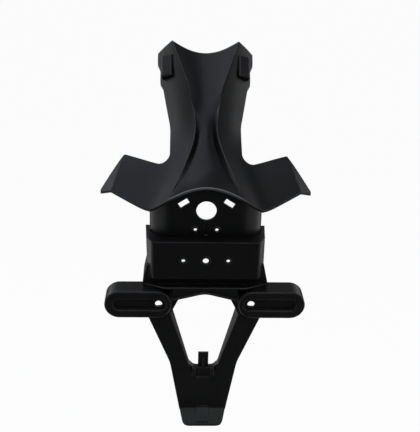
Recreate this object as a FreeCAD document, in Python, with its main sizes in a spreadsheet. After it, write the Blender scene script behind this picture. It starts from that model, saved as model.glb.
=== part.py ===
"""Motorcycle rear fender: undertray with wings and tail wall, plate-lamp housing and plate carrier.

Millimetres. Origin: centre of the tail-lamp hole on the rear face of the tail wall.
+Z up, -Y to the rear of the motorcycle, X across. The part is mirror-symmetric about X = 0.
"""
import FreeCAD, Part
import math
import os
import re
import PartDesign
import Sketcher
from FreeCAD import Placement, Rotation, Vector

# Driving sizes: name and value, in millimetres unless the name says slope or angle.
SIZES = {
    # Mouldings
    "wall": 2.6,
    "fit_gap": 0.4,
    # Undertray skin, as seen along its centre line
    "tray_front": 195.0,
    "rim_reach": 6.0,
    "visor_height": 32.0,
    "ramp_slope": 0.70,
    "ramp_start": 22.0,
    "ramp_bend": 14.0,
    # Undertray cross sections at the rim, the hood, the waist and the front edge
    "hood_y": 45.0,
    "waist_y": 95.0,
    "apex_rim": 32.0,
    "apex_hood": 55.0,
    "apex_waist": 86.5,
    "apex_front": 189.3,
    "bend_rim": 69.0,
    "bend_hood": 54.0,
    "bend_waist": 44.0,
    "bend_front": 58.0,
    "crest_rim": 46.0,
    "crest_hood": 23.0,
    "crest_waist": 10.5,
    "crest_front": 46.0,
    "crest_wall": 2.5,
    "groove_depth": 8.0,
    "groove_start": 0.0,
    "groove_end": 126.0,
    # Wings
    "wing_height": 3.5,
    "wing_slope": 0.65,
    "wing_blend": 8.0,
    "wing_fade": 40.0,
    "tip_slope": 0.6,
    # Plan outline of the undertray
    "ear_half": 65.8,
    "ear_y": 186.5,
    "horn_half": 61.8,
    "horn_y": 164.5,
    "neck_half": 57.3,
    "neck_step": 9.0,
    "neck_round": 8.0,
    "waist_half": 47.0,
    "waist_front": 110.5,
    "root_front": 51.0,
    "corner_x": 106.0,
    "corner_y": 72.5,
    "tip_x": 135.6,
    "tip_y": 30.0,
    "fold_x": 120.0,
    "root_half": 69.5,
    "waist_round": 70.0,
    "root_round": 12.0,
    "edge_round": 3.0,
    # Hook lugs
    "lug_x": 54.3,
    "lug_y": 166.5,
    "lug_width": 16.2,
    "lug_length": 34.0,
    "lug_rise": 6.0,
    "lug_lean_angle": 22.0,
    "lug_pitch_angle": 43.0,
    "lug_bevel": 1.6,
    # Tail wall, cheeks and floor
    "tail_half": 72.0,
    "tail_bottom": 47.0,
    "tail_round": 28.0,
    "cheek_foot": 34.0,
    "cheek_front": 54.0,
    "floor_front": 31.0,
    "lamp_hole": 25.5,
    "window_x": 28.5,
    "window_z": 10.0,
    "window_length": 13.6,
    "window_width": 7.0,
    "window_angle": 33.0,
    "screw_hole": 4.6,
    "screw_pitch": 27.2,
    "screw_drop": 26.0,
    "seat_ring": 9.6,
    "seat_rise": 0.8,
    "key_width": 5.0,
    "key_height": 15.0,
    "key_depth": 1.8,
    # Plate-lamp housing
    "box_depth": 16.0,
    "box_inset": 6.9,
    "box_top": 36.0,
    "box_bottom": 88.5,
    "box_round": 4.0,
    "brim_round": 1.6,
    "collar_front": 36.0,
    "collar_flare": 2.6,
    "collar_waist": 60.0,
    "skirt_half": 80.0,
    "skirt_top": 72.0,
    "skirt_flare": 95.0,
    "skirt_bottom": 101.5,
    "skirt_back": 8.0,
    "lip_reach": 19.5,
    "lip_wide": 52.0,
    "lip_half": 41.5,
    "lip_apex": 106.3,
    "lip_end": 117.0,
    "lip_round": 30.0,
    "bead_width": 2.4,
    "bead_rise": 2.0,
    "shelf_front": 31.0,
    "face_drop": 62.0,
    "face_hole": 8.0,
    "face_screw_hole": 5.0,
    "face_screw_pitch": 56.7,
    # Plate carrier: pads
    "pad_reach": 24.0,
    "pad_back": 4.3,
    "pad_x": 85.8,
    "pad_length": 85.8,
    "pad_height": 38.0,
    "pad_drop": 121.7,
    "pad_bevel": 1.2,
    "slot_x": 83.5,
    "slot_length": 67.0,
    "slot_width": 15.4,
    "slot_depth": 5.0,
    "plate_hole": 9.3,
    "plate_pitch": 119.0,
    "plate_hole_drop": 1.0,
    "access_hole": 19.0,
    # Plate carrier: arms and tongue
    "arm_reach": 8.0,
    "arm_back": 31.0,
    "post_inner": 38.0,
    "post_outer": 62.0,
    "bar_top": 92.0,
    "bar_bottom": 108.0,
    "bar_half": 27.0,
    "step_drop": 103.0,
    "hip_half": 76.0,
    "hip_top": 118.0,
    "hip_bottom": 142.0,
    "eye_half": 44.6,
    "eye_drop": 144.0,
    "knee_half": 45.0,
    "knee_drop": 219.0,
    "knee_round": 60.0,
    "eye_round": 6.0,
    "crotch_half": 19.5,
    "crotch_drop": 223.0,
    "crotch_step": 6.0,
    "crotch_round": 8.0,
    "recess_drop": 14.0,
    "recess_half": 11.0,
    "recess_depth": 1.8,
    "tongue_half": 31.6,
    "tongue_length": 78.0,
    "tongue_back": 1.0,
    "heel_length": 17.0,
    "kick_half": 26.0,
    "kick_length": 16.0,
    "kick_round": 11.0,
    "kick_pad": 18.0,
    "kick_pad_rise": 1.0,
    "thumb_length": 14.0,
    "thumb_width": 3.0,
    "thumb_rise": 7.0,
    "thumb_depth": 0.8,
    "tab_half": 6.9,
    "tab_length": 22.0,
    "tab_back": 3.0,
    "tab_round": 2.5,
    "gusset_width": 2.4,
    "guide_x": 12.6,
    "guide_width": 4.0,
    "guide_reach": 3.0,
    "guide_rise": 2.5,
    "guide_length": 11.0,
    # Clamping bolts and nuts
    "bolt_x": 50.0,
    "bolt_back": 13.0,
    "bolt_pitch": 11.5,
    "bolt_hole": 6.6,
    "bolt_shank": 6.0,
    "bolt_head": 10.0,
    "bolt_head_height": 4.0,
    "nut_height": 5.0,
    "bolt_tail": 2.0,
    "thread_gap": 0.2,
}

doc = FreeCAD.newDocument("rear_fender")
sheet = doc.addObject("Spreadsheet::Sheet", "Sizes")
for row, (alias, value) in enumerate(SIZES.items(), start=1):
    sheet.set(f"A{row}", alias)
    sheet.set(f"B{row}", str(value))
    sheet.setAlias(f"B{row}", alias)
doc.recompute()


def size(alias):
    """The value of one driving size, read back from the sheet."""
    return float(sheet.get(alias))


def station_curve(stations, values):
    """Smooth curve through the given values at the given stations along Y.

    Cubic between neighbours, with each slope taken from the stations on either side.
    """
    last = len(stations) - 1
    slopes = []
    for i in range(last + 1):
        lower = max(i - 1, 0)
        upper = min(i + 1, last)
        slopes.append((values[upper] - values[lower]) / (stations[upper] - stations[lower]))

    def curve(y):
        i = max(k for k in range(last) if k == 0 or stations[k] <= y)
        span = stations[i + 1] - stations[i]
        u = (y - stations[i]) / span
        start = values[i] * (1 + 2 * u) + slopes[i] * span * u
        end = values[i + 1] * (3 - 2 * u) + slopes[i + 1] * span * (u - 1)
        return start * (1 - u) ** 2 + end * u ** 2

    return curve


class TraySkin:
    """Outer surface of the undertray as a height over the plan (x, y)."""

    def __init__(self):
        stations = [-size("rim_reach"), size("hood_y"), size("waist_y"), size("tray_front")]
        names = ["rim", "hood", "waist", "front"]
        self.apex = station_curve(stations, [size(f"apex_{n}") for n in names])
        self.bend = station_curve(stations, [size(f"bend_{n}") for n in names])
        self.crest = station_curve(stations, [size(f"crest_{n}") for n in names])

    def centre(self, y):
        """Height on the centre line: a level visor that bends into a straight ramp."""
        run = y - size("ramp_start")
        return size("visor_height") + size("ramp_slope") * (run + math.hypot(run, size("ramp_bend"))) / 2

    def groove(self, y):
        """Depth of the groove beside each crest: nothing at both ends, deepest between them."""
        u = (y - size("groove_start")) / (size("groove_end") - size("groove_start"))
        return size("groove_depth") * 4 * u * (1 - u) if 0 < u < 1 else 0.0

    def fold(self, y):
        """Distance of the wing-tip fold from the middle: from the rear edge to the front corner."""
        rear_y = size("tip_y") - (size("tip_x") - size("fold_x")) * self.rear_edge_slope()
        along = (y - rear_y) / (size("corner_y") - rear_y)
        return size("fold_x") + (size("corner_x") - size("fold_x")) * along

    def rear_edge_slope(self):
        """Slope in plan of the straight rear edge of a wing."""
        return (size("tip_y") + size("rim_reach")) / (size("tip_x") - size("root_half"))

    def wing(self, x, y):
        """Wing plane, rising forwards, bent down outside the fold, falling away ahead of the wings."""
        past = max(x - self.fold(y), 0.0)
        ahead = max(y - size("root_front") - size("root_round"), 0.0)
        bent = size("tip_slope") * past
        fall = ahead ** 2 / (2 * size("wing_fade"))
        return size("wing_height") + size("wing_slope") * y - bent - fall

    def flank(self, x, y):
        """Arched flank that falls away from the apex line."""
        return self.apex(y) - x ** 2 / (2 * self.bend(y))

    def height(self, x, y):
        """Central panel inside the crests, a short wall up to each flank, all joined to the wing."""
        x = abs(x)
        crest = self.crest(y)
        brow = crest + size("crest_wall")
        middle = self.centre(y)
        panel_edge = self.flank(crest, y) - self.groove(y)
        if x <= crest:
            body = middle + (panel_edge - middle) * (x / crest) ** 2
        elif x < brow:
            body = panel_edge + (self.flank(brow, y) - panel_edge) * (x - crest) / size("crest_wall")
        else:
            body = self.flank(x, y)
        wing = self.wing(x, y)
        return (body + wing + math.hypot(body - wing, size("wing_blend"))) / 2

    def section(self, y):
        """Sampled distances across one section, as lists that meet on the crest, brow and fold lines."""
        crest = self.crest(y)
        brow = crest + size("crest_wall")
        fold = self.fold(y)
        limit = fold + size("tip_x") - size("fold_x") + size("wing_blend")
        panel = [crest * k / 3 for k in range(-3, 4)]
        flank = [brow + (fold - brow) * k / 6 for k in range(7)]
        right = [[crest, brow], flank, [fold, (fold + limit) / 2, limit]]
        left = [[-x for x in reversed(part)] for part in reversed(right)]
        return left + [panel] + right

    def nets(self, depth):
        """Nets of points under the outer surface by a depth square to it, one net per patch."""
        lines = 9
        reach = 2 * size("crest_wall")
        sections = []
        for k in range(lines + 1):
            y = -size("rim_reach") + (size("tray_front") + size("rim_reach")) * k / lines
            rows = []
            for part in self.section(y):
                row = []
                for x in part:
                    rise_x = (self.height(x + reach, y) - self.height(x - reach, y)) / (2 * reach)
                    rise_y = (self.height(x, y + reach) - self.height(x, y - reach)) / (2 * reach)
                    drop = depth * math.sqrt(1 + rise_x ** 2 + rise_y ** 2)
                    row.append(Vector(x, y, self.height(x, y) - drop))
                rows.append(row)
            sections.append(rows)
        return [list(rows) for rows in zip(*sections)]


def spline_frame(count):
    """Degree, knot counts and knots of a smooth line that reaches the ends of a row of points."""
    degree = min(3, count - 1)
    spans = count - degree
    return degree, [degree + 1] + [1] * (spans - 1) + [degree + 1], list(range(spans + 1))


def smooth_face(net):
    """Face drawn smooth over a net of points, reaching the net's outermost lines."""
    degree_u, counts_u, knots_u = spline_frame(len(net))
    degree_v, counts_v, knots_v = spline_frame(len(net[0]))
    patch = Part.BSplineSurface()
    patch.buildFromPolesMultsKnots(net, counts_u, counts_v, knots_u, knots_v, False, False,
                                   degree_u, degree_v)
    return patch.toShape()


def smooth_edge(points):
    """Edge drawn smooth over a row of points, as the border of a smooth face is."""
    degree, counts, knots = spline_frame(len(points))
    line = Part.BSplineCurve()
    line.buildFromPolesMultsKnots(points, counts, knots, False, degree)
    return line.toShape()


def slab(upper, lower):
    """Solid between two stacks of matching nets, closed by ruled faces round the border."""
    faces = [smooth_face(net) for net in upper + lower]
    borders = []
    for top, bottom in zip(upper, lower):
        borders += [(top[0], bottom[0]), (top[-1], bottom[-1])]
    for side in (0, -1):
        borders.append(([row[side] for row in upper[side]], [row[side] for row in lower[side]]))
    for top, bottom in borders:
        faces.append(Part.makeRuledSurface(smooth_edge(top), smooth_edge(bottom)))
    shell = Part.makeShell(faces)
    shell.sewShape()
    solid = Part.makeSolid(shell)
    if solid.Volume < 0:
        solid.reverse()
    return solid


def raised(nets, height):
    """The same nets, flattened at one height."""
    return [[[Vector(p.x, p.y, height) for p in row] for row in net] for net in nets]


def plan_prism(corners, bottom, top):
    """Upright prism over a plan outline given as (x, y, radius) corners, with its edges rounded."""
    loop = [Vector(x, y, bottom) for x, y, _ in corners]
    prism = Part.Face(Part.makePolygon(loop + loop[:1])).extrude(Vector(0, 0, top - bottom))
    for x, y, radius in corners:
        if radius:
            upright = [e for e in prism.Edges
                       if all(math.hypot(v.X - x, v.Y - y) < 0.01 for v in e.Vertexes)]
            prism = prism.makeFillet(radius, upright)
    return prism


def bound(formula):
    """A formula over size names as an expression over the sheet's cells."""
    return re.sub(r"\b[a-z][a-z_]+\b(?!\()", lambda found: "Sizes." + found.group(0), formula)


def measure(formula):
    """The present value of a formula over the sizes."""
    return float(sheet.evalExpression(bound(formula)))


def new_body(name):
    return doc.addObject("PartDesign::Body", name)


def new_sketch(body, name, role, offset="0"):
    """Empty sketch on one of the body's origin planes, moved along the plane's normal by a formula."""
    sketch = body.newObject("Sketcher::SketchObject", name)
    plane = next(f for f in body.Origin.OriginFeatures if f.Role == role)
    sketch.AttachmentSupport = (plane, [""])
    sketch.MapMode = "FlatFace"
    sketch.setExpression("AttachmentOffset.Base.z", bound(offset))
    return sketch


def hold(sketch, kind, geometry, point, formula):
    """Pin one coordinate of a sketch point to a formula over the sizes."""
    index = sketch.addConstraint(Sketcher.Constraint(kind, -1, 1, geometry, point, measure(formula)))
    sketch.setExpression(f"Constraints[{index}]", bound(formula))


def add_loop(sketch, corners):
    """Closed polygon through corners given as pairs of formulas."""
    count = len(corners)
    turns = [2 * math.pi * k / count for k in range(count + 1)]
    start = [Vector(math.cos(a), math.sin(a), 0) for a in turns]
    first = sketch.GeometryCount
    for k in range(count):
        sketch.addGeometry(Part.LineSegment(start[k], start[k + 1]), False)
    for k in range(count):
        sketch.addConstraint(Sketcher.Constraint("Coincident", first + k, 2, first + (k + 1) % count, 1))
    for k, (across, up) in enumerate(corners):
        hold(sketch, "DistanceX", first + k, 1, across)
        hold(sketch, "DistanceY", first + k, 1, up)


def add_circle(sketch, across, up, diameter):
    """Circle with its centre and diameter given as formulas."""
    index = sketch.addGeometry(Part.Circle(Vector(0, 0, 0), Vector(0, 0, 1), 1.0), False)
    hold(sketch, "DistanceX", index, 3, across)
    hold(sketch, "DistanceY", index, 3, up)
    width = sketch.addConstraint(Sketcher.Constraint("Diameter", index, 2.0))
    sketch.setExpression(f"Constraints[{width}]", bound(diameter))


def add_slot(sketch, across, up, length, width):
    """Level slot with round ends, its centre, length and width given as formulas."""
    ends = [f"{across} + ({length} - {width}) / 2", f"{across} - ({length} - {width}) / 2"]
    right, left = (Vector(measure(end), measure(up), 0) for end in ends)
    rise = Vector(0, measure(f"{width} / 2"), 0)
    quarter = math.pi / 2
    axis = Vector(0, 0, 1)
    first = sketch.addGeometry(Part.ArcOfCircle(Part.Circle(right, axis, rise.y), -quarter, quarter), False)
    sketch.addGeometry(Part.LineSegment(right + rise, left + rise), False)
    sketch.addGeometry(Part.ArcOfCircle(Part.Circle(left, axis, rise.y), quarter, 3 * quarter), False)
    sketch.addGeometry(Part.LineSegment(left - rise, right - rise), False)
    for k in range(4):
        sketch.addConstraint(Sketcher.Constraint("Tangent", first + k, 2, first + (k + 1) % 4, 1))
    sketch.addConstraint(Sketcher.Constraint("Equal", first, first + 2))
    for arc, end in zip((first, first + 2), ends):
        hold(sketch, "DistanceX", arc, 3, end)
    hold(sketch, "DistanceY", first, 3, up)
    hold(sketch, "DistanceY", first + 2, 3, up)
    radius = sketch.addConstraint(Sketcher.Constraint("Radius", first, rise.y))
    sketch.setExpression(f"Constraints[{radius}]", bound(f"{width} / 2"))


def mirrored(corners):
    """The corners with their mirror images, as one loop about X = 0."""
    return corners + [(f"-({across})", up) for across, up in reversed(corners)]


def feature(body, kind, name, sketch, length, **settings):
    """Pad or pocket of a sketch by a length formula."""
    made = body.newObject("PartDesign::" + kind, name)
    made.Profile = sketch
    made.setExpression("Length", bound(length))
    for setting, value in settings.items():
        setattr(made, setting, value)
    sketch.Visibility = False
    doc.recompute()
    return made


def dress_edges(body, kind, name, amount, chosen):
    """Fillet or chamfer the edges of the body's tip whose bounding box the test accepts."""
    base = body.Tip
    names = [f"Edge{k}" for k, e in enumerate(base.Shape.Edges, start=1) if chosen(e.BoundBox)]
    made = body.newObject("PartDesign::" + kind, name)
    made.Base = (base, names)
    made.setExpression({"Fillet": "Radius", "Chamfer": "Size"}[kind], bound(amount))
    doc.recompute()
    return made


def round_edges(body, name, radius, chosen):
    """Fillet the chosen edges."""
    return dress_edges(body, "Fillet", name, radius, chosen)


def near(value, target):
    return abs(value - target) < 0.01


def upright_at(across, along):
    """Test for upright straight edges that stand at plus or minus a distance across and one along Y."""
    def chosen(box):
        standing = near(box.XLength, 0) and near(box.YLength, 0)
        return standing and near(abs(box.XMin), across) and near(box.YMin, along)
    return chosen


def faces_along(face, direction, distance):
    """Whether a flat face looks along a direction, at a distance from the origin."""
    if not isinstance(face.Surface, Part.Plane):
        return False
    outward = face.normalAt(0, 0)
    return outward.dot(direction) > 0.999 and near(face.CenterOfMass.dot(direction), distance)


def hollow_out(body, name, opened):
    """Shell of the body's tip with the given wall, open where the test accepts a face."""
    base = body.Tip
    names = [f"Face{k}" for k, f in enumerate(base.Shape.Faces, start=1) if opened(f)]
    made = body.newObject("PartDesign::Thickness", name)
    made.Base = (base, names)
    made.setExpression("Value", bound("wall"))
    made.Reversed = True
    made.Join = "Intersection"
    doc.recompute()
    return made


def boolean(kind, name, base, tool):
    """Part boolean of two objects: Cut, Common or Fuse."""
    made = doc.addObject("Part::" + kind, name)
    made.Base = base
    made.Tool = tool
    doc.recompute()
    return made


def offset_block(name, outline, offset, direction, length):
    """Solid pushed along a direction from a sketched outline moved outwards by a formula."""
    moved = doc.addObject("Part::Offset2D", name + "_outline")
    moved.Source = outline
    moved.Join = "Intersection"
    moved.setExpression("Value", bound(offset))
    block = doc.addObject("Part::Extrusion", name)
    block.Base = moved
    block.DirMode = "Custom"
    block.Dir = direction
    block.Solid = True
    block.setExpression("LengthFwd", bound(length))
    doc.recompute()
    return block


def plain_feature(name, shape):
    made = doc.addObject("Part::Feature", name)
    made.Shape = shape
    return made


# Undertray skin
def tray_outline():
    """Plan outline of the undertray: ears, horns, neck, waist, wing roots, corners and tips."""
    beyond = size("wing_blend")
    half = [
        (size("ear_half"), size("tray_front") + beyond, 0),
        (size("ear_half"), size("ear_y"), size("neck_round")),
        (size("horn_half"), size("ear_y") - size("neck_step"), size("neck_round")),
        (size("horn_half"), size("horn_y"), size("neck_round")),
        (size("neck_half"), size("horn_y") - size("neck_step"), size("neck_round")),
        (size("waist_half"), size("waist_front"), size("waist_round")),
        (size("waist_half"), size("root_front"), size("root_round")),
        (size("corner_x"), size("corner_y"), size("edge_round")),
        (size("tip_x"), size("tip_y"), size("edge_round")),
        (size("root_half"), -size("rim_reach"), 0),
        (size("root_half"), -size("rim_reach") - beyond, 0),
    ]
    return half + [(-x, y, radius) for x, y, radius in reversed(half)]


skin = TraySkin()
sky = size("apex_front") + size("tail_half")
outer_nets = skin.nets(0.0)
tray_solid = slab(outer_nets, skin.nets(size("wall")))
tray_skin = plain_feature("tray_skin", tray_solid.common(plan_prism(tray_outline(), -sky, sky)))
over_skin = plain_feature("over_skin", slab(raised(outer_nets, sky), skin.nets(size("wall") / 2)))


# Tail wall, cheeks and floor, trimmed to the skin
def tail_body():
    body = new_body("tail_tub")
    plan = new_sketch(body, "tail_plan", "XY_Plane", "-tail_bottom")
    add_loop(plan, mirrored([("tail_half", "0"), ("tail_half", "cheek_front")]))
    feature(body, "Pad", "tail_block", plan, "tail_bottom + apex_hood")
    round_edges(body, "tail_corners", "tail_round", upright_at(size("tail_half"), 0))

    hollow_out(body, "tail_hollow", lambda face: faces_along(face, Vector(0, 0, 1), size("apex_hood"))
               or faces_along(face, Vector(0, 1, 0), size("cheek_front")))

    side = new_sketch(body, "cheek_side", "YZ_Plane")
    add_loop(side, [("cheek_foot", "-tail_bottom - wall"), ("cheek_foot", "-tail_bottom"),
                    ("cheek_front", "apex_hood"), ("cheek_front + wall", "apex_hood"),
                    ("cheek_front + wall", "-tail_bottom - wall")])
    feature(body, "Pocket", "cheek_slant", side, "2 * tail_half + wall", SideType="Symmetric")

    seats = new_sketch(body, "lamp_seats", "XZ_Plane")
    holes = new_sketch(body, "lamp_holes", "XZ_Plane", "seat_rise")
    for sign in ("-", ""):
        add_circle(seats, f"{sign}screw_pitch / 2", "-screw_drop", "seat_ring")
        add_circle(holes, f"{sign}screw_pitch / 2", "-screw_drop", "screw_hole")
        add_loop(holes, [
            (f"{sign}(window_x + ({run} * window_length * cos(window_angle)"
             f" + {rise} * window_width * sin(window_angle)) / 2)",
             f"window_z + ({rise} * window_width * cos(window_angle)"
             f" - {run} * window_length * sin(window_angle)) / 2")
            for run, rise in ((-1, -1), (1, -1), (1, 1), (-1, 1))])
    add_circle(holes, "0", "0", "lamp_hole")
    feature(body, "Pad", "lamp_seat_rings", seats, "seat_rise")
    feature(body, "Pocket", "lamp_openings", holes, "wall + 2 * seat_rise")

    key = new_sketch(body, "key_groove", "XZ_Plane")
    add_loop(key, mirrored([("key_width / 2", "-screw_drop - key_height / 2"),
                            ("key_width / 2", "-screw_drop + key_height / 2")]))
    feature(body, "Pocket", "key_recess", key, "key_depth")

    floor_gap = new_sketch(body, "floor_front_edge", "XY_Plane", "-tail_bottom + wall")
    inner_edge = "tail_half - wall"
    add_loop(floor_gap, mirrored([(inner_edge, "floor_front"), (inner_edge, "cheek_front")]))
    add_bolt_circles(floor_gap, "bolt_hole")
    feature(body, "Pocket", "floor_opening", floor_gap, "2 * wall")
    return body


def add_bolt_circles(sketch, diameter):
    """The four bolt places as circles."""
    for sign in ("-", ""):
        for row in ("bolt_back", "bolt_back + bolt_pitch"):
            add_circle(sketch, f"{sign}bolt_x", row, diameter)


def hook_lug(side):
    """Bevelled block that stands on a horn, its top pitched with the tray and leaning outwards."""
    lug = doc.addObject("Part::Box", f"lug_block_{side}")
    lug.setExpression("Length", bound("lug_width"))
    lug.setExpression("Width", bound("lug_length"))
    lug.setExpression("Height", bound("lug_length"))
    sign = -1 if side == "left" else 1
    inner = size("lug_x") - size("lug_width") / 2
    top = skin.height(inner, size("lug_y")) + size("lug_rise")
    pitch = Rotation(Vector(1, 0, 0), size("lug_pitch_angle"))
    turn = pitch * Rotation(Vector(0, 1, 0), sign * size("lug_lean_angle"))
    start_x = 0 if side == "right" else -size("lug_width")
    corner = Vector(start_x, -size("lug_length") / 2, -size("lug_length"))
    lug.Placement = Placement(Vector(sign * inner, size("lug_y"), top) + turn.multVec(corner), turn)
    doc.recompute()
    bevelled = doc.addObject("Part::Chamfer", f"hook_lug_{side}")
    bevelled.Base = lug
    bevel = size("lug_bevel")
    face_edges = lug.Shape.getElement("Face6").Edges
    bevelled.Edges = [(number, bevel, bevel) for number, edge in enumerate(lug.Shape.Edges, start=1)
                      if any(edge.isSame(other) for other in face_edges)]
    doc.recompute()
    return bevelled


tail = boolean("Cut", "tail_trimmed", tail_body(), over_skin)
lugs = boolean("Fuse", "hook_lugs", hook_lug("left"), hook_lug("right"))
lugs_seated = boolean("Common", "hook_lugs_seated", lugs, over_skin)
fender_body = doc.addObject("Part::MultiFuse", "fender_body")
fender_body.Shapes = [tray_skin, tail, lugs_seated]
doc.recompute()


# Plate-lamp housing
COLLAR_INNER = "tail_half + fit_gap"
COLLAR_OUTER = "tail_half + fit_gap + wall"
BOX_HALF = f"{COLLAR_OUTER} - box_inset"


def tail_space():
    """Room for the tail inside the collar, a fit gap wider than the tail all round."""
    body = new_body("tail_space")
    plan = new_sketch(body, "tail_space_plan", "XY_Plane", "-tail_bottom")
    add_loop(plan, mirrored([(COLLAR_INNER, "-fit_gap"), (COLLAR_INNER, "collar_front + wall")]))
    feature(body, "Pad", "tail_space_block", plan, "tail_bottom")
    round_edges(body, "tail_space_corners", "tail_round + fit_gap",
                upright_at(size("tail_half") + size("fit_gap"), -size("fit_gap")))
    return body


def housing_outer():
    """Box, flared collar and flared skirt as a solid, with the lamp holes in the face of the box."""
    body = new_body("housing_outer")
    box = new_sketch(body, "box_plan", "XY_Plane", "-box_top")
    add_loop(box, mirrored([(BOX_HALF, "-box_depth"), (COLLAR_OUTER, "0"), (COLLAR_OUTER, "collar_front")]))
    feature(body, "Pad", "box_block", box, "box_bottom - box_top", Reversed=True)
    round_edges(body, "box_corners", "box_round", upright_at(measure(BOX_HALF), -size("box_depth")))
    round_edges(body, "box_brims", "brim_round", lambda box: box.ZLength < 0.01 and box.YMax < 0.01
                and (near(box.ZMin, -size("box_top")) or near(box.ZMin, -size("box_bottom"))))
    collar = new_sketch(body, "collar_front_view", "XZ_Plane")
    taper = new_sketch(body, "collar_taper", "XY_Plane", "-box_top")
    for sign in ("-", ""):
        add_loop(collar, [(f"{sign}({COLLAR_OUTER} - wall / 2)", "-box_top"),
                          (f"{sign}({COLLAR_OUTER} + collar_flare)", "-box_top"),
                          (f"{sign}({COLLAR_OUTER})", "-collar_waist"),
                          (f"{sign}({COLLAR_OUTER} - wall / 2)", "-collar_waist")])
        add_loop(taper, [(f"{sign}({COLLAR_OUTER})", "0"),
                         (f"{sign}({COLLAR_OUTER} + collar_flare)", "collar_front"),
                         (f"{sign}({COLLAR_OUTER} + 2 * collar_flare)", "collar_front"),
                         (f"{sign}({COLLAR_OUTER} + 2 * collar_flare)", "0")])
    feature(body, "Pad", "collar_flares", collar, "collar_front", Reversed=True)
    feature(body, "Pocket", "collar_tapers", taper, "collar_waist - box_top")
    skirt = new_sketch(body, "skirt_plan", "XY_Plane", "-box_bottom")
    add_loop(skirt, mirrored([(COLLAR_OUTER, "-skirt_back"), (COLLAR_OUTER, "collar_front")]))
    feature(body, "Pad", "skirt_block", skirt, "skirt_bottom - box_bottom", Reversed=True)
    flare = new_sketch(body, "flare_front", "XZ_Plane", "skirt_back")
    add_loop(flare, mirrored([(COLLAR_OUTER, "-skirt_top"), ("skirt_half", "-skirt_flare"),
                              ("skirt_half", "-skirt_bottom")]))
    feature(body, "Pad", "skirt_flares", flare, "skirt_back + collar_front", Reversed=True)

    seats = new_sketch(body, "face_seats", "XZ_Plane", "box_depth")
    holes = new_sketch(body, "face_holes", "XZ_Plane", "box_depth + seat_rise")
    add_circle(seats, "0", "-face_drop", "face_hole + seat_ring - screw_hole")
    add_circle(holes, "0", "-face_drop", "face_hole")
    for sign in ("-", ""):
        add_circle(seats, f"{sign}face_screw_pitch / 2", "-face_drop", "seat_ring")
        add_circle(holes, f"{sign}face_screw_pitch / 2", "-face_drop", "face_screw_hole")
    feature(body, "Pad", "face_seat_rings", seats, "seat_rise")
    feature(body, "Pocket", "face_openings", holes, "wall + 2 * seat_rise")
    return body


def housing_inside():
    """Inside of the housing: a wall away from the box and the skirt, open below and to the front."""
    plans = new_body("housing_inside_plans")
    beyond = "collar_front + 2 * wall"
    box = new_sketch(plans, "box_inside_plan", "XY_Plane", "-box_top - wall")
    add_loop(box, mirrored([(BOX_HALF, "-box_depth"), (COLLAR_OUTER, "0"), (COLLAR_OUTER, beyond)]))
    skirt = new_sketch(plans, "skirt_inside_front", "XZ_Plane", "skirt_back - wall")
    add_loop(skirt, mirrored([(COLLAR_OUTER, "-skirt_top"), ("skirt_half", "-skirt_flare"),
                              ("skirt_half", "-skirt_bottom - 2 * wall")]))
    doc.recompute()
    down = Vector(0, 0, -1)
    box_space = offset_block("box_inside", box, "-wall", down, "box_bottom - box_top - 2 * wall")
    skirt_space = offset_block("skirt_inside", skirt, "-wall", Vector(0, 1, 0), "skirt_back + collar_front")
    return boolean("Fuse", "housing_inside", box_space, skirt_space)


def housing_fittings():
    """Bolted shelf under the tail floor, throat ledge and arched lip with its bead."""
    body = new_body("housing_fittings")
    shelf = new_sketch(body, "shelf_plan", "XY_Plane", "-tail_bottom")
    rim = f"{COLLAR_INNER} + wall / 2"
    add_loop(shelf, mirrored([(f"{BOX_HALF} - wall", "-box_depth + wall / 2"), (rim, "0"),
                              (rim, "shelf_front")]))
    add_bolt_circles(shelf, "bolt_hole")
    feature(body, "Pad", "shelf", shelf, "wall", Reversed=True)

    ledge = new_sketch(body, "ledge_plan", "XY_Plane", "-skirt_bottom")
    add_loop(ledge, mirrored([("skirt_half", "-skirt_back + wall"), ("skirt_half", "-skirt_back"),
                              ("lip_wide", "-lip_reach")]))
    feature(body, "Pad", "throat_ledge", ledge, "wall")
    lip = new_sketch(body, "lip_front", "XZ_Plane", "lip_reach")
    arch = [("lip_half", "-lip_end"), ("0", "-lip_apex"), ("-lip_half", "-lip_end")]
    add_loop(lip, [("lip_half", "-skirt_bottom + wall")] + arch + [("-lip_half", "-skirt_bottom + wall")])
    feature(body, "Pad", "lip", lip, "wall", Reversed=True)
    bead = new_sketch(body, "bead_front", "XZ_Plane", "lip_reach")
    add_loop(bead, arch + [(across, f"{up} + bead_width") for across, up in reversed(arch)])
    feature(body, "Pad", "lip_bead", bead, "bead_rise")
    round_edges(body, "lip_apex_rounding", "lip_round",
                lambda box: near(box.XLength + box.ZLength, 0) and near(box.XMin, 0) and box.YMax < 0)
    return body


# Plate carrier
FOOT = "tail_bottom + wall"
CROTCH = "(crotch_drop + crotch_step)"
TAB_TOP = f"({CROTCH} - tab_length)"
TONGUE = "(knee_drop + tongue_length)"
KICK = "(knee_drop + tongue_length + kick_length)"


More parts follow.
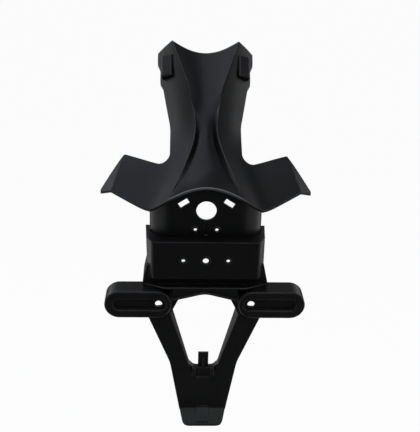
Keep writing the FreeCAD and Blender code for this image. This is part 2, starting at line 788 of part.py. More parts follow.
def carrier_arms():
    """Two posts, cross bar, channel arms and tongue, open at the front of the motorcycle."""
    body = new_body("carrier_arms")
    front = new_sketch(body, "arm_front", "XZ_Plane", "arm_reach")
    add_loop(front, mirrored([("post_inner", "-bar_top"), ("post_inner", f"-({FOOT})"),
                              ("post_outer", f"-({FOOT})"), ("post_outer", "-step_drop"),
                              ("hip_half", "-hip_top"), ("hip_half", "-hip_bottom"),
                              ("knee_half", "-knee_drop"), ("tongue_half", f"-{TONGUE}")]))
    feature(body, "Pad", "arm_block", front, "arm_reach + arm_back", Reversed=True)
    eye = new_sketch(body, "eye_front", "XZ_Plane", "arm_reach")
    add_loop(eye, mirrored([("bar_half", "-bar_bottom"), ("eye_half", "-eye_drop"),
                            ("crotch_half", "-crotch_drop"), ("guide_x", f"-{CROTCH}")]))
    feature(body, "Pocket", "eye", eye, "arm_reach + arm_back")

    side = new_sketch(body, "arm_side", "YZ_Plane")
    step_foot = "-step_drop - arm_reach"
    add_loop(side, [("-arm_reach - wall", "-tail_bottom"), ("0", "-tail_bottom"), ("0", "-step_drop"),
                    ("-arm_reach", step_foot), ("-arm_reach - wall", step_foot)])
    add_loop(side, [("arm_back", "-bar_bottom"), ("tongue_back", "-knee_drop - heel_length"),
                    ("tongue_back", f"-{TONGUE} - wall"), ("arm_back + wall", f"-{TONGUE} - wall"),
                    ("arm_back + wall", "-bar_bottom")])
    feature(body, "Pocket", "arm_taper", side, "2 * hip_half + wall", SideType="Symmetric")

    def runs_along_y(across, drop):
        return lambda box: (box.XLength < 0.01 and box.ZLength < 0.01
                            and near(abs(box.XMin), across) and near(box.ZMin, -drop))

    round_edges(body, "knees", "knee_round", runs_along_y(size("knee_half"), size("knee_drop")))
    round_edges(body, "eye_corners", "eye_round", runs_along_y(size("eye_half"), size("eye_drop")))
    round_edges(body, "crotch_bends", "crotch_round", runs_along_y(size("crotch_half"), size("crotch_drop")))
    round_edges(body, "crotch_corners", "crotch_round", runs_along_y(size("guide_x"), measure(CROTCH)))
    recess = new_sketch(body, "recess_front", "XZ_Plane", "arm_reach")
    add_loop(recess, mirrored([("crotch_half", "-crotch_drop"),
                               ("recess_half", f"-{CROTCH} - recess_drop")]))
    feature(body, "Pocket", "crotch_recess", recess, "recess_depth")
    thumb = new_sketch(body, "thumb_front", "XZ_Plane", "arm_reach")
    add_slot(thumb, "0", f"-{TONGUE} + thumb_rise", "thumb_length", "thumb_width")
    feature(body, "Pocket", "thumb_groove", thumb, "thumb_depth")
    access = new_sketch(body, "nut_access", "XZ_Plane", "arm_reach")
    for sign in ("-", ""):
        add_circle(access, f"{sign}plate_pitch / 2", "-pad_drop - plate_hole_drop - slot_depth",
                   "access_hole")
    feature(body, "Pocket", "nut_access_holes", access, "1.5 * wall")
    feet = new_sketch(body, "foot_holes", "XY_Plane", f"-({FOOT})")
    add_bolt_circles(feet, "bolt_hole")
    feature(body, "Pocket", "foot_bolt_holes", feet, "1.5 * wall")

    tab = new_sketch(body, "tab_front", "XZ_Plane", "tab_back")
    add_loop(tab, mirrored([("tab_half", f"-{CROTCH} - wall / 2"), ("tab_half", f"-{TAB_TOP}")]))
    feature(body, "Pad", "snap_tab", tab, "wall", Reversed=True)
    round_edges(body, "tab_roots", "tab_round", runs_along_y(size("tab_half"), measure(CROTCH)))
    gusset = new_sketch(body, "gusset_side", "YZ_Plane")
    add_loop(gusset, [("-tab_back + wall / 2", f"-{TAB_TOP} - tab_half"),
                      ("-tab_back", f"-{TAB_TOP} - tab_half"),
                      ("-arm_reach", f"-{CROTCH}"), ("-arm_reach", f"-{CROTCH} - wall / 2"),
                      ("-tab_back + wall / 2", f"-{CROTCH} - wall / 2")])
    feature(body, "Pad", "tab_gusset", gusset, "gusset_width", SideType="Symmetric")
    guides = new_sketch(body, "guide_front", "XZ_Plane", "arm_reach - wall")
    for sign in ("-", ""):
        add_loop(guides, [(f"{sign}(guide_x {edge} guide_width / 2)", up) for edge, up in
                          (("-", f"-{CROTCH} + guide_rise"), ("+", f"-{CROTCH} + guide_rise"),
                           ("+", f"-{CROTCH} - guide_length"), ("-", f"-{CROTCH} - guide_length"))])
    feature(body, "Pad", "guide_ribs", guides, "guide_reach + wall")

    kick = new_sketch(body, "kick_front", "XZ_Plane", "pad_reach")
    add_loop(kick, mirrored([("tongue_half", f"-{TONGUE} + wall"), ("kick_half", f"-{KICK}")]))
    feature(body, "Pad", "kick_block", kick, "pad_reach - arm_reach + wall / 2", Reversed=True)
    round_edges(body, "kick_corners", "kick_round", runs_along_y(size("kick_half"), measure(KICK)))
    slope = new_sketch(body, "kick_side", "YZ_Plane")
    above = f"-{TONGUE} + 2 * wall"
    below = f"-{KICK} - wall"
    add_loop(slope, [("-arm_reach", f"-{TONGUE} + wall"), ("-pad_reach", f"-{KICK} + wall"),
                     ("-pad_reach - wall", f"-{KICK} + wall"), ("-pad_reach - wall", above),
                     ("-arm_reach", above)])
    add_loop(slope, [("-arm_reach + wall / 2", f"-{TONGUE}"), ("-pad_reach", f"-{KICK}"),
                     ("-pad_reach", below), ("-arm_reach + wall", below),
                     ("-arm_reach + wall", f"-{TONGUE}")])
    feature(body, "Pocket", "kicked_lip", slope, "2 * tongue_half + wall", SideType="Symmetric")
    pad = new_sketch(body, "kick_pad_side", "YZ_Plane")
    pad_end = "-arm_reach - 7 / 8 * (pad_reach - arm_reach)"
    pad_foot = f"-{TONGUE} - 7 / 8 * kick_length"
    add_loop(pad, [("-arm_reach", f"-{TONGUE} + wall / 2"),
                   ("-arm_reach", f"-{TONGUE} + wall + kick_pad_rise"),
                   (pad_end, f"{pad_foot} + wall + kick_pad_rise"), (pad_end, f"{pad_foot} + wall / 2")])
    feature(body, "Pad", "kick_pad_plate", pad, "kick_pad", SideType="Symmetric")
    return body


def arm_space():
    """Inside of the channel arms: a wall away from their outline, their opening and their front."""
    forwards = Vector(0, 1, 0)
    depth = "arm_reach + arm_back + wall"
    inside = offset_block("arm_inside", doc.getObject("arm_front"), "-wall", forwards, depth)
    eye_wall = offset_block("eye_wall", doc.getObject("eye_front"), "wall", forwards, depth)
    body = new_body("arm_front_wall")
    side = new_sketch(body, "arm_front_wall_side", "YZ_Plane")
    shift = "wall * tan(22.5)"
    add_loop(side, [("-arm_reach - wall", "-tail_bottom"), ("wall", "-tail_bottom"),
                    ("wall", f"-step_drop - {shift}"),
                    ("-arm_reach + wall", f"-step_drop - arm_reach - {shift}"),
                    ("-arm_reach + wall", f"-{TONGUE}"), ("-arm_reach - wall", f"-{TONGUE}")])
    feature(body, "Pad", "arm_front_wall_block", side, "2 * hip_half + wall", SideType="Symmetric")
    return boolean("Cut", "arm_space", boolean("Cut", "arm_ring", inside, eye_wall), body)


def carrier_pads():
    """Two round-ended pads with a blind slot each, hollow behind."""
    body = new_body("carrier_pads")
    front = new_sketch(body, "pad_front", "XZ_Plane", "pad_reach")
    slots = new_sketch(body, "slot_front", "XZ_Plane", "pad_reach")
    holes = new_sketch(body, "plate_holes", "XZ_Plane", "pad_reach - slot_depth")
    for sign in ("-", ""):
        add_slot(front, f"{sign}pad_x", "-pad_drop", "pad_length", "pad_height")
        add_slot(slots, f"{sign}slot_x", "-pad_drop", "slot_length", "slot_width")
        add_circle(holes, f"{sign}plate_pitch / 2", "-pad_drop - plate_hole_drop", "plate_hole")
    feature(body, "Pad", "pad_block", front, "pad_reach + pad_back", Reversed=True)
    feature(body, "Pocket", "slots", slots, "slot_depth")
    hollow_out(body, "pad_hollow", lambda face: faces_along(face, Vector(0, 1, 0), size("pad_back")))
    dress_edges(body, "Chamfer", "pad_edges", "pad_bevel",
                lambda box: near(box.YMin, -size("pad_reach")) and box.YLength < 0.01)
    feature(body, "Pocket", "plate_bolt_holes", holes, "1.5 * wall")
    return body


housing_shell = boolean("Cut", "housing_shell", housing_outer(), housing_inside())
housing_fitted = boolean("Fuse", "housing_fitted", housing_shell, housing_fittings())
lamp_housing = boolean("Cut", "lamp_housing", housing_fitted, tail_space())
arm_shell = boolean("Cut", "arm_shell", carrier_arms(), arm_space())
plate_carrier = boolean("Fuse", "plate_carrier", arm_shell, carrier_pads())


# Clamping bolts and nuts
def hexagons(sketch, width):
    """One hexagon of the given width across flats at each bolt place."""
    for sign in ("-", ""):
        for row in ("bolt_back", "bolt_back + bolt_pitch"):
            add_loop(sketch, [(f"{sign}bolt_x + {width} / sqrt(3) * cos({turn})",
                               f"{row} + {width} / sqrt(3) * sin({turn})") for turn in range(0, 360, 60)])


def bolt_bodies():
    """Hexagon bolts from below the carrier's feet, and their nuts on the tail floor."""
    bolts = new_body("clamp_bolts")
    below = f"-({FOOT} + wall)"
    above = "-tail_bottom + wall"
    head = new_sketch(bolts, "bolt_head_plan", "XY_Plane", below)
    hexagons(head, "bolt_head")
    feature(bolts, "Pad", "bolt_heads", head, "bolt_head_height", Reversed=True)
    shank = new_sketch(bolts, "bolt_shank_plan", "XY_Plane", below)
    add_bolt_circles(shank, "bolt_shank")
    feature(bolts, "Pad", "bolt_shanks", shank, "3 * wall + nut_height + bolt_tail")

    nuts = new_body("clamp_nuts")
    sides = new_sketch(nuts, "nut_plan", "XY_Plane", above)
    hexagons(sides, "bolt_head")
    feature(nuts, "Pad", "nut_sides", sides, "nut_height")
    bore = new_sketch(nuts, "nut_bore_plan", "XY_Plane", above)
    add_bolt_circles(bore, "bolt_shank + 2 * thread_gap")
    feature(nuts, "Pocket", "nut_bores", bore, "nut_height", Reversed=True)
    return bolts, nuts


clamp_bolts, clamp_nuts = bolt_bodies()


def write_parts():
    """Check every object and write one file for each sub-part."""
    doc.recompute()
    for item in doc.Objects:
        if {"Invalid", "Error"} & set(item.State):
            raise RuntimeError(f"{item.Name} failed: {item.State}")
    os.makedirs("parts", exist_ok=True)
    for item in (fender_body, lamp_housing, plate_carrier, clamp_bolts, clamp_nuts):
        if item.Shape.isNull() or not item.Shape.isValid():
            raise RuntimeError(f"{item.Label} has no valid shape")
        item.Shape.exportStep(f"parts/{item.Label}.step")


write_parts()
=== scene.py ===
"""Looks of a motorcycle rear fender: black moulded plastic on a white studio stage.

Metres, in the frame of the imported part: the origin is the centre of the tail-lamp hole on the rear
face of the tail wall, +Z is up, -Y is the rear of the motorcycle and X runs across.
"""
import math

import bpy
import numpy as np
from mathutils import Matrix, Vector

bl_info = {
    "name": "Rear fender looks",
    "version": (1, 0, 0),
    "blender": (4, 5, 0),
    "location": "View3D > Sidebar > Rear fender",
    "description": "Dresses the rear fender's mouldings and fasteners and sets its studio stage",
    "category": "Object",
}

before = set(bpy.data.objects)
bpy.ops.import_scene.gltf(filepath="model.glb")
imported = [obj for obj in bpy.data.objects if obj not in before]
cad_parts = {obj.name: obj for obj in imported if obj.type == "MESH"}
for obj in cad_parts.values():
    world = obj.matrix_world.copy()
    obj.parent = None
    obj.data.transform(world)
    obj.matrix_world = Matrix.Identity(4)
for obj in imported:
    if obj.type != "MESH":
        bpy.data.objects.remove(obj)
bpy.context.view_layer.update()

MOULDINGS = ("fender_body", "lamp_housing", "plate_carrier")
FASTENERS = ("clamp_bolts", "clamp_nuts")

# All masks: rays for each test of an edge or a hollow, and the mean of a noise. In the groups below, a pair
# gives the values between which a mask changes
TRACE_RAYS = 6
NOISE_MEAN = 0.5

# Painted highlight, drawn as paler plastic: how far an edge turns, how free it stands, and where the hood's
# rim lies
EDGE_TURN = (0.02, 0.24)
PROUD_REACH = 0.006
PROUD_OPEN = (0.72, 0.95)
HOOD_BACK = (0.0035, 0.005)
HOOD_HEIGHT = (0.012, 0.026)
HOOD_LEVEL = 0.3
HIGHLIGHT_LEAST = 0.8
HIGHLIGHT_SPREAD = 1.2

# Sheen of the plastic: noises are scale, detail and roughness, and the rest are changes of roughness
PATCHES = (34.0, 4.0, 0.6)
PATCH_SHEEN = 0.14
GRAIN_DETAIL = 2.0
GRAIN_ROUGHNESS = 0.5
GRAIN_SHEEN = 0.06
GRAIN_STRENGTH = 0.6
HIGHLIGHT_SHEEN = 0.06
DULL_SLANT = (0.66, 0.88)
DULL_SHEEN = 0.55

# Painted shade in the grooves: how open a place is from fully shaded to clean, and the height over the lamp
# hole where the skin holds it
GROOVE_SHADE_REACH = 0.026
GROOVE_SHADE_OPEN = (0.48, 0.9)
GROOVE_SHADE_HEIGHT = (0.02, 0.036)
GROOVE_SHADE_ROUGHNESS = 0.9
GROOVE_SHADE_GLOSS = 0.02

# Zinc: its cloudy spangle
SPANGLE = (240.0, 3.0, 0.6)
SPANGLE_DARK = 0.8
SPANGLE_SHEEN = 0.2
SPANGLE_DEPTH = 0.00005
SPANGLE_STRENGTH = 0.3

# Floor: how white it is seen, the cosine and distance over which its shade comes in, the radius of the hole
# at its middle, and the points along its curl and round it
FLOOR_WHITE = 0.95
SHADE_TURN = (0.74, 0.94)
SHADE_REACH = (0.05, 0.25)
FLOOR_EYE = 0.02
CURL_POINTS = 17
ROUND_POINTS = 65

# Camera: the picture's width in pixels, the sensor's in millimetres and the farthest thing seen
FRAME_WIDTH = 420
SENSOR_WIDTH = 36.0
CLIP_END = 20.0

# Soft boxes: name, place, width and height, watts and tint
LAMP_TARGET = (0.0, 0.06, 0.0)
LAMPS = (
    ("left_box", (-1.15, 0.36, 0.70), (1.0, 0.8), 6.6, (0.95, 0.98, 1.05)),
    ("right_box", (1.20, 0.26, 0.66), (1.0, 0.7), 4.8, (0.98, 0.99, 1.02)),
    ("top_box", (-0.35, 0.42, 1.40), (1.0, 1.4), 5.8, (0.86, 0.94, 1.12)),
    ("rear_box", (0.0, -0.85, 1.15), (1.0, 0.6), 5.2, (0.97, 0.99, 1.03)),
)

# A Mix node's colour sockets come after those for numbers and vectors
MIX_FIRST, MIX_SECOND, MIX_COLOUR = 6, 7, 2


class Line:
    """A node's output socket on which sums can be written as Python expressions."""

    def __init__(self, recipe, socket):
        self.recipe = recipe
        self.socket = socket

    def math(self, operation, *values):
        return self.recipe.node("ShaderNodeMath", {"operation": operation}, values)

    def __add__(self, other):
        return self.math("ADD", self, other)

    def __radd__(self, other):
        return self.math("ADD", other, self)

    def __sub__(self, other):
        return self.math("SUBTRACT", self, other)

    def __rsub__(self, other):
        return self.math("SUBTRACT", other, self)

    def __mul__(self, other):
        return self.math("MULTIPLY", self, other)

    def __rmul__(self, other):
        return self.math("MULTIPLY", other, self)

    def __truediv__(self, other):
        return self.math("DIVIDE", self, other)

    def __rtruediv__(self, other):
        return self.math("DIVIDE", other, self)

    def root(self):
        return self.math("SQRT", self)

    def least(self, other):
        return self.math("MINIMUM", self, other)

    def most(self, other):
        return self.math("MAXIMUM", self, other)


class Recipe:
    """One material's node tree."""

    def __init__(self, name):
        self.material = bpy.data.materials.new(name)
        self.material.use_nodes = True
        self.tree = self.material.node_tree
        self.tree.nodes.clear()

    def node(self, kind, settings=None, inputs=None, output=0):
        """Add a node: settings first, then its sockets' values or links, by name or in order."""
        made = self.tree.nodes.new(kind)
        for name, value in (settings or {}).items():
            setattr(made, name, value)
        pairs = inputs.items() if isinstance(inputs, dict) else enumerate(inputs or [])
        for key, value in pairs:
            if isinstance(value, Line):
                self.tree.links.new(value.socket, made.inputs[key])
            else:
                made.inputs[key].default_value = value
        return Line(self, made.outputs[output]) if made.outputs else made

    def place(self):
        """Point on the piece, in the part's frame."""
        return self.node("ShaderNodeTexCoord", output="Object")

    def axis(self, vector, name):
        """One coordinate of a vector."""
        return self.node("ShaderNodeSeparateXYZ", None, [vector], output=name)

    def noise(self, scale, detail, roughness):
        return self.node("ShaderNodeTexNoise", {"noise_dimensions": "3D"},
                         {"Vector": self.place(), "Scale": scale, "Detail": detail, "Roughness": roughness})

    def openness(self, reach):
        """Share of the directions out of a point that are free for a given reach."""
        return self.node("ShaderNodeAmbientOcclusion", {"samples": TRACE_RAYS},
                         {"Distance": reach}, output="AO")

    def smooth(self, value, ends):
        """Soft step from 0 at the first end to 1 at the second."""
        return self.node("ShaderNodeMapRange", {"interpolation_type": "SMOOTHSTEP"}, [value, *ends, 0.0, 1.0])

    def climb(self, value, ends, top=1.0):
        """Straight climb from 0 at the first end to the top at the second, level beyond them."""
        return self.node("ShaderNodeMapRange", {"clamp": True}, [value, *ends, 0.0, top])

    def blend(self, factor, first, second):
        """Mix of two colours."""
        return self.node("ShaderNodeMix", {"data_type": "RGBA"},
                         {0: factor, MIX_FIRST: first, MIX_SECOND: second}, output=MIX_COLOUR)

    def layer(self, factor, under, over):
        """Mix of two shaders."""
        return self.node("ShaderNodeMixShader", None, [factor, under, over])

    def bump(self, height, distance, strength, normal=None):
        inputs = {"Height": height, "Distance": distance, "Strength": strength}
        if normal:
            inputs["Normal"] = normal
        return self.node("ShaderNodeBump", None, inputs)

    def finish(self, surface):
        self.node("ShaderNodeOutputMaterial", None, {"Surface": surface})
        return self.material


class PlasticLook(bpy.types.PropertyGroup):
    """Finish of the three black mouldings."""

    base: bpy.props.FloatVectorProperty(
        name="Base colour", description="Colour of the plastic", subtype="COLOR", size=4,
        min=0.0, max=1.0, default=(0.0055, 0.0056, 0.0060, 1.0))
    # Colour of the painted highlight: paler plastic on upward edges and on the hood's rim
    painted_highlight_colour: bpy.props.FloatVectorProperty(
        name="Worn colour", description="Colour of rubbed edges", subtype="COLOR", size=4,
        min=0.0, max=1.0, default=(0.15, 0.153, 0.16, 1.0))
    # Colour of the painted shade: dark matt plastic in the grooves
    painted_shade: bpy.props.FloatVectorProperty(
        name="Grime colour", description="Colour of the matt grime in the grooves", subtype="COLOR", size=4,
        min=0.0, max=1.0, default=(0.003, 0.003, 0.0034, 1.0))
    roughness: bpy.props.FloatProperty(
        name="Roughness", description="Mean roughness of the moulded face", subtype="FACTOR",
        min=0.0, max=1.0, default=0.36)
    gloss: bpy.props.FloatProperty(
        name="Gloss", description="Strength of the mirror light", subtype="FACTOR",
        min=0.0, max=1.0, default=0.2)
    grain: bpy.props.FloatProperty(
        name="Grain", description="Cells of the moulded grain in a metre",
        min=100.0, max=5000.0, default=1500.0)
    grain_depth: bpy.props.FloatProperty(
        name="Grain depth", description="Depth of the moulded grain", unit="LENGTH",
        min=0.0, max=0.001, precision=6, default=0.00003)
    edge: bpy.props.FloatProperty(
        name="Edge radius", description="Radius of the moulded edges as light sees them", unit="LENGTH",
        min=0.0, max=0.005, precision=5, default=0.0018)


class SteelLook(bpy.types.PropertyGroup):
    """Finish of the bolts and nuts."""

    base: bpy.props.FloatVectorProperty(
        name="Base colour", description="Colour of the zinc", subtype="COLOR", size=4,
        min=0.0, max=1.0, default=(0.55, 0.55, 0.57, 1.0))
    roughness: bpy.props.FloatProperty(
        name="Roughness", description="Mean roughness of the zinc", subtype="FACTOR",
        min=0.0, max=1.0, default=0.38)


class StageLook(bpy.types.PropertyGroup):
    """Camera, floor and sky."""

    elevation: bpy.props.FloatProperty(
        name="Elevation", description="Height of the camera as an angle", subtype="ANGLE",
        default=math.radians(24.0))
    yaw: bpy.props.FloatProperty(
        name="Yaw", description="Turn of the camera to the left of straight behind", subtype="ANGLE",
        default=math.radians(2.25))
    roll: bpy.props.FloatProperty(
        name="Roll", description="Tilt of the picture", subtype="ANGLE", default=math.radians(1.44))
    distance: bpy.props.FloatProperty(
        name="Distance", description="Camera to the aim point", unit="LENGTH", default=1.0)
    focal_pixels: bpy.props.FloatProperty(
        name="Focal length", description="Focal length in pixels of the frame", subtype="PIXEL",
        default=800.0)
    aim: bpy.props.FloatVectorProperty(
        name="Aim", description="Point in the middle of the picture", subtype="XYZ", unit="LENGTH", size=3,
        default=(0.0045, 0.0, -0.0069))
    floor_drop: bpy.props.FloatProperty(
        name="Floor", description="Height of the floor", unit="LENGTH", default=-0.62)
    floor_colour: bpy.props.FloatVectorProperty(
        name="Floor colour", description="Colour of the floor", subtype="COLOR", size=4,
        min=0.0, max=1.0, default=(0.85, 0.85, 0.85, 1.0))
    shade: bpy.props.FloatVectorProperty(
        name="Shade", description="Colour of the floor on the camera's side", subtype="COLOR", size=4,
        min=0.0, max=1.0, default=(0.32, 0.32, 0.32, 1.0))
    floor_radius: bpy.props.FloatProperty(
        name="Floor radius", description="Middle to the curled-up wall", unit="LENGTH", default=2.4)
    curl: bpy.props.FloatProperty(
        name="Curl", description="Radius of the curl between floor and wall", unit="LENGTH", default=1.0)
    wall_height: bpy.props.FloatProperty(
        name="Wall height", description="Top of the wall over the floor", unit="LENGTH", default=1.05)
    sky: bpy.props.FloatVectorProperty(
        name="Sky colour", description="Colour of the light from all round", subtype="COLOR", size=4,
        min=0.0, max=1.0, default=(0.64, 0.64, 0.64, 1.0))
    sky_strength: bpy.props.FloatProperty(
        name="Sky strength", description="Strength of the light from all round", min=0.0, default=0.3)


def painted_highlight_mask(recipe, rounded, patches):
    """Painted highlight, drawn as paler plastic: edges that turn, stand free and face up, and the hood's
    rim, found by its place behind the tail wall and over the lamp hole, stronger in some patches than others."""
    flat = recipe.node("ShaderNodeNewGeometry", output="Normal")
    even = recipe.node("ShaderNodeVectorMath", {"operation": "DOT_PRODUCT"}, [rounded, flat], output="Value")
    upward = recipe.axis(rounded, "Z").most(0.0)
    proud = recipe.climb(recipe.openness(PROUD_REACH), PROUD_OPEN)
    edge = recipe.climb(1.0 - even, EDGE_TURN) * proud * upward
    back = recipe.smooth(0.0 - recipe.axis(recipe.place(), "Y"), HOOD_BACK)
    over = recipe.smooth(recipe.axis(recipe.place(), "Z"), HOOD_HEIGHT)
    rim = back * over * (HOOD_LEVEL + upward)
    return (edge.most(rim) * (HIGHLIGHT_LEAST + HIGHLIGHT_SPREAD * patches)).least(1.0)


def painted_shade_mask(recipe):
    """Where shade is painted: closed-in places of the skin, above the hood."""
    closed_in = 1.0 - recipe.smooth(recipe.openness(GROOVE_SHADE_REACH), GROOVE_SHADE_OPEN)
    return closed_in * recipe.smooth(recipe.axis(recipe.place(), "Z"), GROOVE_SHADE_HEIGHT)


def plastic_material(look):
    """Black moulded plastic: fine grain, an uneven sheen that is duller at a slant, edges that shade as
    rounded, a painted highlight of paler plastic on upward edges and the rim, and painted shade in the
    grooves."""
    recipe = Recipe("moulded_black_plastic")
    rounded = recipe.node("ShaderNodeBevel", {"samples": TRACE_RAYS}, {"Radius": look.edge})
    patches = recipe.noise(*PATCHES)
    grain = recipe.noise(look.grain, GRAIN_DETAIL, GRAIN_ROUGHNESS)
    # Painted highlight: the base colour is made paler where edges face up and on the hood's rim
    painted_highlight = painted_highlight_mask(recipe, rounded, patches)
    slant = recipe.node("ShaderNodeLayerWeight", output="Facing")
    uneven = PATCH_SHEEN * (patches - NOISE_MEAN) + GRAIN_SHEEN * (grain - NOISE_MEAN) - HIGHLIGHT_SHEEN * painted_highlight
    clean = recipe.node("ShaderNodeBsdfPrincipled", None, {
        "Base Color": recipe.blend(painted_highlight, tuple(look.base), tuple(look.painted_highlight_colour)),
        "Roughness": look.roughness + uneven + recipe.climb(slant, DULL_SLANT, DULL_SHEEN),
        "Normal": recipe.bump(grain, look.grain_depth, GRAIN_STRENGTH, rounded),
        "Specular IOR Level": look.gloss})
    # Painted shade: dark matt plastic laid over the closed-in places of the skin
    painted_shade = recipe.node("ShaderNodeBsdfPrincipled", None, {
        "Base Color": tuple(look.painted_shade), "Roughness": GROOVE_SHADE_ROUGHNESS, "Specular IOR Level": GROOVE_SHADE_GLOSS})
    return recipe.finish(recipe.layer(painted_shade_mask(recipe), clean, painted_shade))


def steel_material(look):
    """Zinc-plated steel: metallic, with soft cloudy spangle."""
    recipe = Recipe("zinc_plated_steel")
    cloud = recipe.noise(*SPANGLE)
    dark = tuple(SPANGLE_DARK * level for level in look.base[:3]) + (1.0,)
    surface = recipe.node("ShaderNodeBsdfPrincipled", None, {
        "Base Color": recipe.blend(cloud, dark, tuple(look.base)),
        "Metallic": 1.0,
        "Roughness": look.roughness + SPANGLE_SHEEN * (cloud - NOISE_MEAN),
        "Normal": recipe.bump(cloud, SPANGLE_DEPTH, SPANGLE_STRENGTH)})
    return recipe.finish(surface)


def floor_material(look):
    """Pale floor that eye, gloss and glass see close to white and that keeps the object's shadow. It shades
    off towards the camera's side, by the cosine of the angle from there and away from the middle."""
    recipe = Recipe("pale_floor")
    seen = recipe.node("ShaderNodeLightPath", output="Is Camera Ray")
    for ray in ("Is Glossy Ray", "Is Transmission Ray"):
        seen = seen.most(recipe.node("ShaderNodeLightPath", output=ray))
    along = recipe.axis(recipe.place(), "Y")
    across = recipe.axis(recipe.place(), "X")
    reach = (along * along + across * across).root()
    shaded = recipe.smooth((0.0 - along) / reach, SHADE_TURN) * recipe.smooth(reach, SHADE_REACH)
    pale = recipe.node("ShaderNodeBsdfDiffuse", None, {"Color": tuple(look.floor_colour)})
    dim = recipe.node("ShaderNodeBsdfDiffuse", None, {"Color": tuple(look.shade)})
    white = recipe.node("ShaderNodeEmission", None, {"Color": (1.0, 1.0, 1.0, 1.0), "Strength": 1.0})
    paint = recipe.layer(shaded, pale, dim)
    return recipe.finish(recipe.layer(FLOOR_WHITE * seen * (1.0 - shaded), paint, white))


def dress(names, material):
    """Give CAD nodes one material."""
    for name in names:
        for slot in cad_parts[name].material_slots:
            slot.material = material


def grid_object(name, points, material):
    """Mesh over a grid of points (rows, columns, 3), as quads between neighbours."""
    rows, columns, _ = points.shape
    index = np.arange(rows * columns).reshape(rows, columns)
    quads = np.stack([index[:-1, :-1], index[:-1, 1:], index[1:, 1:], index[1:, :-1]], axis=-1)
    mesh = bpy.data.meshes.new(name)
    mesh.from_pydata(points.reshape(-1, 3).tolist(), [], quads.reshape(-1, 4).tolist())
    mesh.materials.append(material)
    made = bpy.data.objects.new(name, mesh)
    bpy.context.scene.collection.objects.link(made)
    return made


class FENDER_OT_mouldings(bpy.types.Operator):
    """Give the three mouldings their black plastic"""

    bl_idname = "fender.mouldings"
    bl_label = "Dress mouldings"

    def execute(self, context):
        dress(MOULDINGS, plastic_material(context.scene.fender_plastic))
        return {"FINISHED"}


class FENDER_OT_fasteners(bpy.types.Operator):
    """Give the bolts and nuts their zinc"""

    bl_idname = "fender.fasteners"
    bl_label = "Dress fasteners"

    def execute(self, context):
        dress(FASTENERS, steel_material(context.scene.fender_steel))
        return {"FINISHED"}


def facing(direction):
    """Turn that points a camera's or a lamp's -Z along a direction, with its Y up."""
    return direction.to_track_quat("-Z", "Y").to_matrix().to_4x4()


def add_camera(look):
    """Camera on a sphere round the aim point, at the photograph's height, turn and tilt."""
    data = bpy.data.cameras.new("camera")
    data.sensor_fit = "HORIZONTAL"
    data.sensor_width = SENSOR_WIDTH
    data.lens = SENSOR_WIDTH * look.focal_pixels / FRAME_WIDTH
    data.clip_end = CLIP_END
    camera = bpy.data.objects.new("camera", data)
    level = math.cos(look.elevation)
    away = Vector((-math.sin(look.yaw) * level, -math.cos(look.yaw) * level, math.sin(look.elevation)))
    place = Matrix.Translation(Vector(look.aim) + look.distance * away)
    camera.matrix_world = place @ facing(-away) @ Matrix.Rotation(look.roll, 4, "Z")
    bpy.context.scene.collection.objects.link(camera)
    bpy.context.scene.camera = camera


def add_lamp(name, place, size, power, tint):
    """Rectangular soft box that looks at the part."""
    data = bpy.data.lights.new(name, "AREA")
    data.shape = "RECTANGLE"
    data.size, data.size_y = size
    data.energy = power
    data.color = tint
    lamp = bpy.data.objects.new(name, data)
    lamp.matrix_world = Matrix.Translation(Vector(place)) @ facing(Vector(LAMP_TARGET) - Vector(place))
    bpy.context.scene.collection.objects.link(lamp)


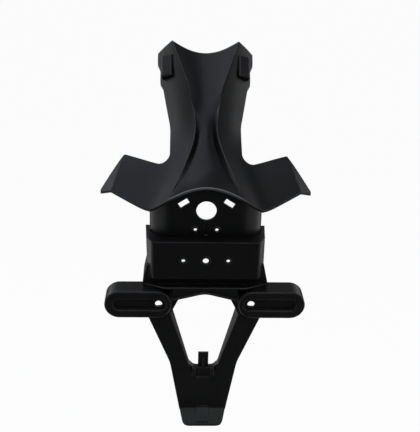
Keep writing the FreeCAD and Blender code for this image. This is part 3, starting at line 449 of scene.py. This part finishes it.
def add_floor(look):
    """Round floor that curls up at its rim: a profile of a flat run, a quarter round and a short wall,
    turned about the upright axis."""
    bend = np.linspace(0.0, math.pi / 2, CURL_POINTS)
    curl_run = look.floor_radius + look.curl * (np.sin(bend) - 1.0)
    run = np.concatenate([[FLOOR_EYE], curl_run, [look.floor_radius]])
    rise = np.concatenate([[0.0], look.curl * (1.0 - np.cos(bend)), [look.wall_height]])
    turn = np.linspace(0.0, 2.0 * math.pi, ROUND_POINTS)
    points = np.empty((run.size, turn.size, 3))
    points[..., 0] = run[:, None] * np.cos(turn)[None, :]
    points[..., 1] = run[:, None] * np.sin(turn)[None, :]
    points[..., 2] = look.floor_drop + rise[:, None]
    floor = grid_object("floor", points, floor_material(look))
    floor.data.polygons.foreach_set("use_smooth", np.ones(len(floor.data.polygons), dtype=bool))


def set_world(look):
    """Pale grey light from all round."""
    world = bpy.data.worlds.new("studio")
    bpy.context.scene.world = world
    world.use_nodes = True
    background = world.node_tree.nodes["Background"]
    background.inputs["Color"].default_value = look.sky
    background.inputs["Strength"].default_value = look.sky_strength


class FENDER_OT_stage(bpy.types.Operator):
    """Set the camera, the floor and the lamps"""

    bl_idname = "fender.stage"
    bl_label = "Set stage"

    def execute(self, context):
        look = context.scene.fender_stage
        context.scene.view_settings.view_transform = "Standard"
        add_camera(look)
        add_floor(look)
        set_world(look)
        for lamp in LAMPS:
            add_lamp(*lamp)
        return {"FINISHED"}


class FENDER_PT_sidebar(bpy.types.Panel):
    """Rear fender's pieces and stage"""

    bl_idname = "FENDER_PT_sidebar"
    bl_label = "Rear fender"
    bl_space_type = "VIEW_3D"
    bl_region_type = "UI"
    bl_category = "Rear fender"

    def draw(self, context):
        for group in GROUPS:
            box = self.layout.box()
            look = getattr(context.scene, group)
            for name in look.bl_rna.properties.keys():
                if name not in ("rna_type", "name"):
                    box.prop(look, name)
        for operator in OPERATORS:
            self.layout.operator(operator.bl_idname)


GROUPS = {"fender_plastic": PlasticLook, "fender_steel": SteelLook, "fender_stage": StageLook}
OPERATORS = (FENDER_OT_mouldings, FENDER_OT_fasteners, FENDER_OT_stage)


def register():
    for name, group in GROUPS.items():
        bpy.utils.register_class(group)
        setattr(bpy.types.Scene, name, bpy.props.PointerProperty(type=group))
    for item in OPERATORS + (FENDER_PT_sidebar,):
        bpy.utils.register_class(item)


def unregister():
    for item in (FENDER_PT_sidebar,) + OPERATORS:
        bpy.utils.unregister_class(item)
    for name, group in GROUPS.items():
        delattr(bpy.types.Scene, name)
        bpy.utils.unregister_class(group)


def main():
    register()
    bpy.ops.fender.mouldings()
    bpy.ops.fender.fasteners()
    bpy.ops.fender.stage()


if __name__ == "__main__":
    main()
